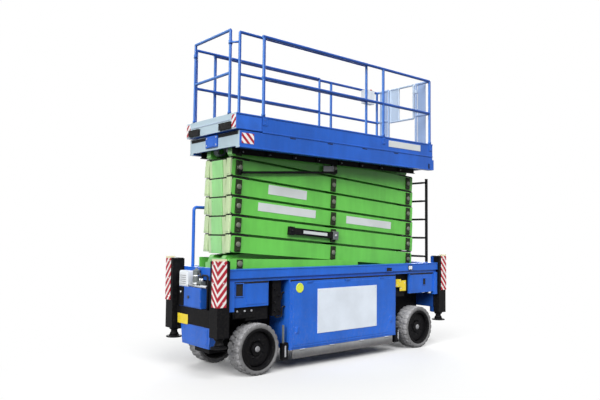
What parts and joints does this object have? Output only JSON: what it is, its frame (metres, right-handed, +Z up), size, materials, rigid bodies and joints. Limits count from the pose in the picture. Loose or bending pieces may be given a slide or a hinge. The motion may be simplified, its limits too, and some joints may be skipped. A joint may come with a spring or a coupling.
{
  "type": "scissor lift",
  "caption": "Narrow electric scissor lift with a tall scissor stack, corner jacks with striped guards, a railed platform with a sliding extension, and a ladder.",
  "frame": {"origin": "on the ground, under the middle of the machine's box", "axes": "+X along the machine towards the ladder end, +Y to the side with the handrail, +Z up"},
  "size_m": [4.14, 1.196, 4.0598],
  "materials": {
    "blue_paint": "satin",
    "green_paint": "satin",
    "black_paint": "satin",
    "white_paint": "satin",
    "grey_paint": "satin",
    "deck_paint": "satin",
    "stripe_paint": "satin",
    "tyre_rubber": "matte",
    "rod_chrome": "polished",
    "black_rubber": "matte",
    "control_plastic": "matte"
  },
  "bodies": {
    "chassis": {"chassis_frame": "blue_paint", "chassis_core": "black_paint", "scissor_base": "green_paint", "side_boxes": "blue_paint", "wheel_covers": "blue_paint", "front_axle": "black_paint", "rear_axle": "black_paint", "jack_frames": "black_paint", "jack_guards": "stripe_paint", "nose_plate": "blue_paint", "end_cabinet": "blue_paint", "charger_box": "white_paint", "oil_tank": "grey_paint", "handrail": "blue_paint", "ladder": "black_paint", "pothole_guards": "grey_paint", "pothole_brackets": "black_paint", "pump_blocks": "black_paint"},
    "inner_1": {"inner_1": "green_paint"},
    "outer_1": {"outer_1": "green_paint"},
    "inner_2": {"inner_2": "green_paint"},
    "outer_2": {"outer_2": "green_paint"},
    "inner_3": {"inner_3": "green_paint"},
    "outer_3": {"outer_3": "green_paint"},
    "inner_4": {"inner_4": "green_paint"},
    "outer_4": {"outer_4": "green_paint"},
    "inner_5": {"inner_5": "green_paint"},
    "outer_5": {"outer_5": "green_paint"},
    "inner_6": {"inner_6": "green_paint"},
    "outer_6": {"outer_6": "green_paint"},
    "barrel_lower": {"barrel_lower": "black_paint"},
    "rod_lower": {"rod_lower": "rod_chrome"},
    "barrel_upper": {"barrel_upper": "black_paint"},
    "rod_upper": {"rod_upper": "rod_chrome"},
    "knuckle_near": {"knuckle_near": "black_paint"},
    "knuckle_far": {"knuckle_far": "black_paint"},
    "wheel_front_near": {"tyre_front_near": "tyre_rubber", "rim_front_near": "black_paint"},
    "wheel_front_far": {"tyre_front_far": "tyre_rubber", "rim_front_far": "black_paint"},
    "wheel_rear_near": {"tyre_rear_near": "tyre_rubber", "rim_rear_near": "black_paint"},
    "wheel_rear_far": {"tyre_rear_far": "tyre_rubber", "rim_rear_far": "black_paint"},
    "leg_front_near": {"leg_front_near": "black_paint"},
    "leg_front_far": {"leg_front_far": "black_paint"},
    "leg_rear_near": {"leg_rear_near": "black_paint"},
    "leg_rear_far": {"leg_rear_far": "black_paint"},
    "platform": {"platform_frame": "blue_paint", "platform_deck": "deck_paint", "toe_boards": "blue_paint", "main_posts": "blue_paint", "main_rails": "blue_paint", "control_box": "control_plastic"},
    "gate": {"gate": "white_paint"},
    "extension": {"ext_deck": "deck_paint", "ext_posts": "blue_paint", "ext_rails": "blue_paint", "ext_buffers": "black_rubber"}
  },
  "joints": [
    {"name": "lift", "type": "hinge", "parent": "chassis", "child": "inner_1", "pos_m": [-1.6, 0, 1.287], "axis": [0, -1, 0], "range_deg": [0, 60]},
    {"name": "pivot_1_right", "type": "hinge", "parent": "inner_1", "child": "outer_2", "pos_m": [1.525, 0, 1.517], "axis": [0, -1, 0], "range_deg": [-120, 0]},
    {"name": "pivot_2_left", "type": "hinge", "parent": "outer_2", "child": "inner_3", "pos_m": [-1.6, 0, 1.747], "axis": [0, -1, 0], "range_deg": [0, 120]},
    {"name": "pivot_3_right", "type": "hinge", "parent": "inner_3", "child": "outer_4", "pos_m": [1.525, 0, 1.977], "axis": [0, -1, 0], "range_deg": [-120, 0]},
    {"name": "pivot_4_left", "type": "hinge", "parent": "outer_4", "child": "inner_5", "pos_m": [-1.6, 0, 2.207], "axis": [0, -1, 0], "range_deg": [0, 120]},
    {"name": "pivot_5_right", "type": "hinge", "parent": "inner_5", "child": "outer_6", "pos_m": [1.525, 0, 2.437], "axis": [0, -1, 0], "range_deg": [-120, 0]},
    {"name": "platform_pivot", "type": "hinge", "parent": "outer_6", "child": "platform", "pos_m": [-1.6, 0, 2.667], "axis": [0, -1, 0], "range_deg": [0, 60]},
    {"name": "middle_1", "type": "hinge", "parent": "inner_1", "child": "outer_1", "pos_m": [-0.0375, 0, 1.402], "axis": [0, -1, 0], "range_deg": [-120, 0]},
    {"name": "middle_2", "type": "hinge", "parent": "outer_2", "child": "inner_2", "pos_m": [-0.0375, 0, 1.632], "axis": [0, -1, 0], "range_deg": [0, 120]},
    {"name": "middle_3", "type": "hinge", "parent": "inner_3", "child": "outer_3", "pos_m": [-0.0375, 0, 1.862], "axis": [0, -1, 0], "range_deg": [-120, 0]},
    {"name": "middle_4", "type": "hinge", "parent": "outer_4", "child": "inner_4", "pos_m": [-0.0375, 0, 2.092], "axis": [0, -1, 0], "range_deg": [0, 120]},
    {"name": "middle_5", "type": "hinge", "parent": "inner_5", "child": "outer_5", "pos_m": [-0.0375, 0, 2.322], "axis": [0, -1, 0], "range_deg": [-120, 0]},
    {"name": "middle_6", "type": "hinge", "parent": "outer_6", "child": "inner_6", "pos_m": [-0.0375, 0, 2.552], "axis": [0, -1, 0], "range_deg": [0, 120]},
    {"name": "barrel_pivot_lower", "type": "hinge", "parent": "inner_2", "child": "barrel_lower", "pos_m": [-0.15391, 0, 1.62343], "axis": [0, -1, 0], "range_deg": [-126.55, 0]},
    {"name": "rod_slide_lower", "type": "slide", "parent": "barrel_lower", "child": "rod_lower", "axis": [-0.993, 0, 0.1178], "range_m": [0, 0.6128]},
    {"name": "barrel_pivot_upper", "type": "hinge", "parent": "inner_4", "child": "barrel_upper", "pos_m": [-0.15391, 0, 2.08343], "axis": [0, -1, 0], "range_deg": [-126.55, 0]},
    {"name": "rod_slide_upper", "type": "slide", "parent": "barrel_upper", "child": "rod_upper", "axis": [-0.993, 0, 0.1178], "range_m": [0, 0.6128]},
    {"name": "steer_near", "type": "hinge", "parent": "chassis", "child": "knuckle_near", "pos_m": [-1.46, -0.27, 0.3], "axis": [0, 0, 1], "range_deg": [-28, 28]},
    {"name": "steer_far", "type": "hinge", "parent": "chassis", "child": "knuckle_far", "pos_m": [-1.46, 0.27, 0.3], "axis": [0, 0, 1], "range_deg": [-28, 28]},
    {"name": "roll_front_near", "type": "hinge", "parent": "knuckle_near", "child": "wheel_front_near", "pos_m": [-1.46, -0.449, 0.3], "axis": [0, 1, 0], "continuous": true},
    {"name": "roll_front_far", "type": "hinge", "parent": "knuckle_far", "child": "wheel_front_far", "pos_m": [-1.46, 0.449, 0.3], "axis": [0, 1, 0], "continuous": true},
    {"name": "roll_rear_near", "type": "hinge", "parent": "chassis", "child": "wheel_rear_near", "pos_m": [1.46, -0.449, 0.3], "axis": [0, 1, 0], "continuous": true},
    {"name": "roll_rear_far", "type": "hinge", "parent": "chassis", "child": "wheel_rear_far", "pos_m": [1.46, 0.449, 0.3], "axis": [0, 1, 0], "continuous": true},
    {"name": "jack_front_near", "type": "slide", "parent": "chassis", "child": "leg_front_near", "axis": [0, 0, -1], "range_m": [0, 0.46]},
    {"name": "jack_front_far", "type": "slide", "parent": "chassis", "child": "leg_front_far", "axis": [0, 0, -1], "range_m": [0, 0.46]},
    {"name": "jack_rear_near", "type": "slide", "parent": "chassis", "child": "leg_rear_near", "axis": [0, 0, -1], "range_m": [0, 0.46]},
    {"name": "jack_rear_far", "type": "slide", "parent": "chassis", "child": "leg_rear_far", "axis": [0, 0, -1], "range_m": [0, 0.46]},
    {"name": "extension_slide", "type": "slide", "parent": "platform", "child": "extension", "axis": [-1, 0, 0], "range_m": [0, 1.2]},
    {"name": "gate_hinge", "type": "hinge", "parent": "platform", "child": "gate", "pos_m": [1.735, -0.283, 3.5], "axis": [0, 0, 1], "range_deg": [0, 90]}
  ],
  "couplings": [
    {"joint": "pivot_1_right", "follows": "lift", "ratio": -2},
    {"joint": "pivot_2_left", "follows": "lift", "ratio": 2},
    {"joint": "pivot_3_right", "follows": "lift", "ratio": -2},
    {"joint": "pivot_4_left", "follows": "lift", "ratio": 2},
    {"joint": "pivot_5_right", "follows": "lift", "ratio": -2},
    {"joint": "platform_pivot", "follows": "lift", "ratio": 1},
    {"joint": "middle_1", "follows": "lift", "ratio": -2},
    {"joint": "middle_2", "follows": "lift", "ratio": 2},
    {"joint": "middle_3", "follows": "lift", "ratio": -2},
    {"joint": "middle_4", "follows": "lift", "ratio": 2},
    {"joint": "middle_5", "follows": "lift", "ratio": -2},
    {"joint": "middle_6", "follows": "lift", "ratio": 2},
    {"joint": "barrel_pivot_lower", "follows": "lift", "ratio": -2.109},
    {"joint": "rod_slide_lower", "follows": "lift", "m_per_rad": 0.58472},
    {"joint": "barrel_pivot_upper", "follows": "lift", "ratio": -2.109},
    {"joint": "rod_slide_upper", "follows": "lift", "m_per_rad": 0.58472},
    {"joint": "steer_far", "follows": "steer_near", "ratio": 1}
  ]
}
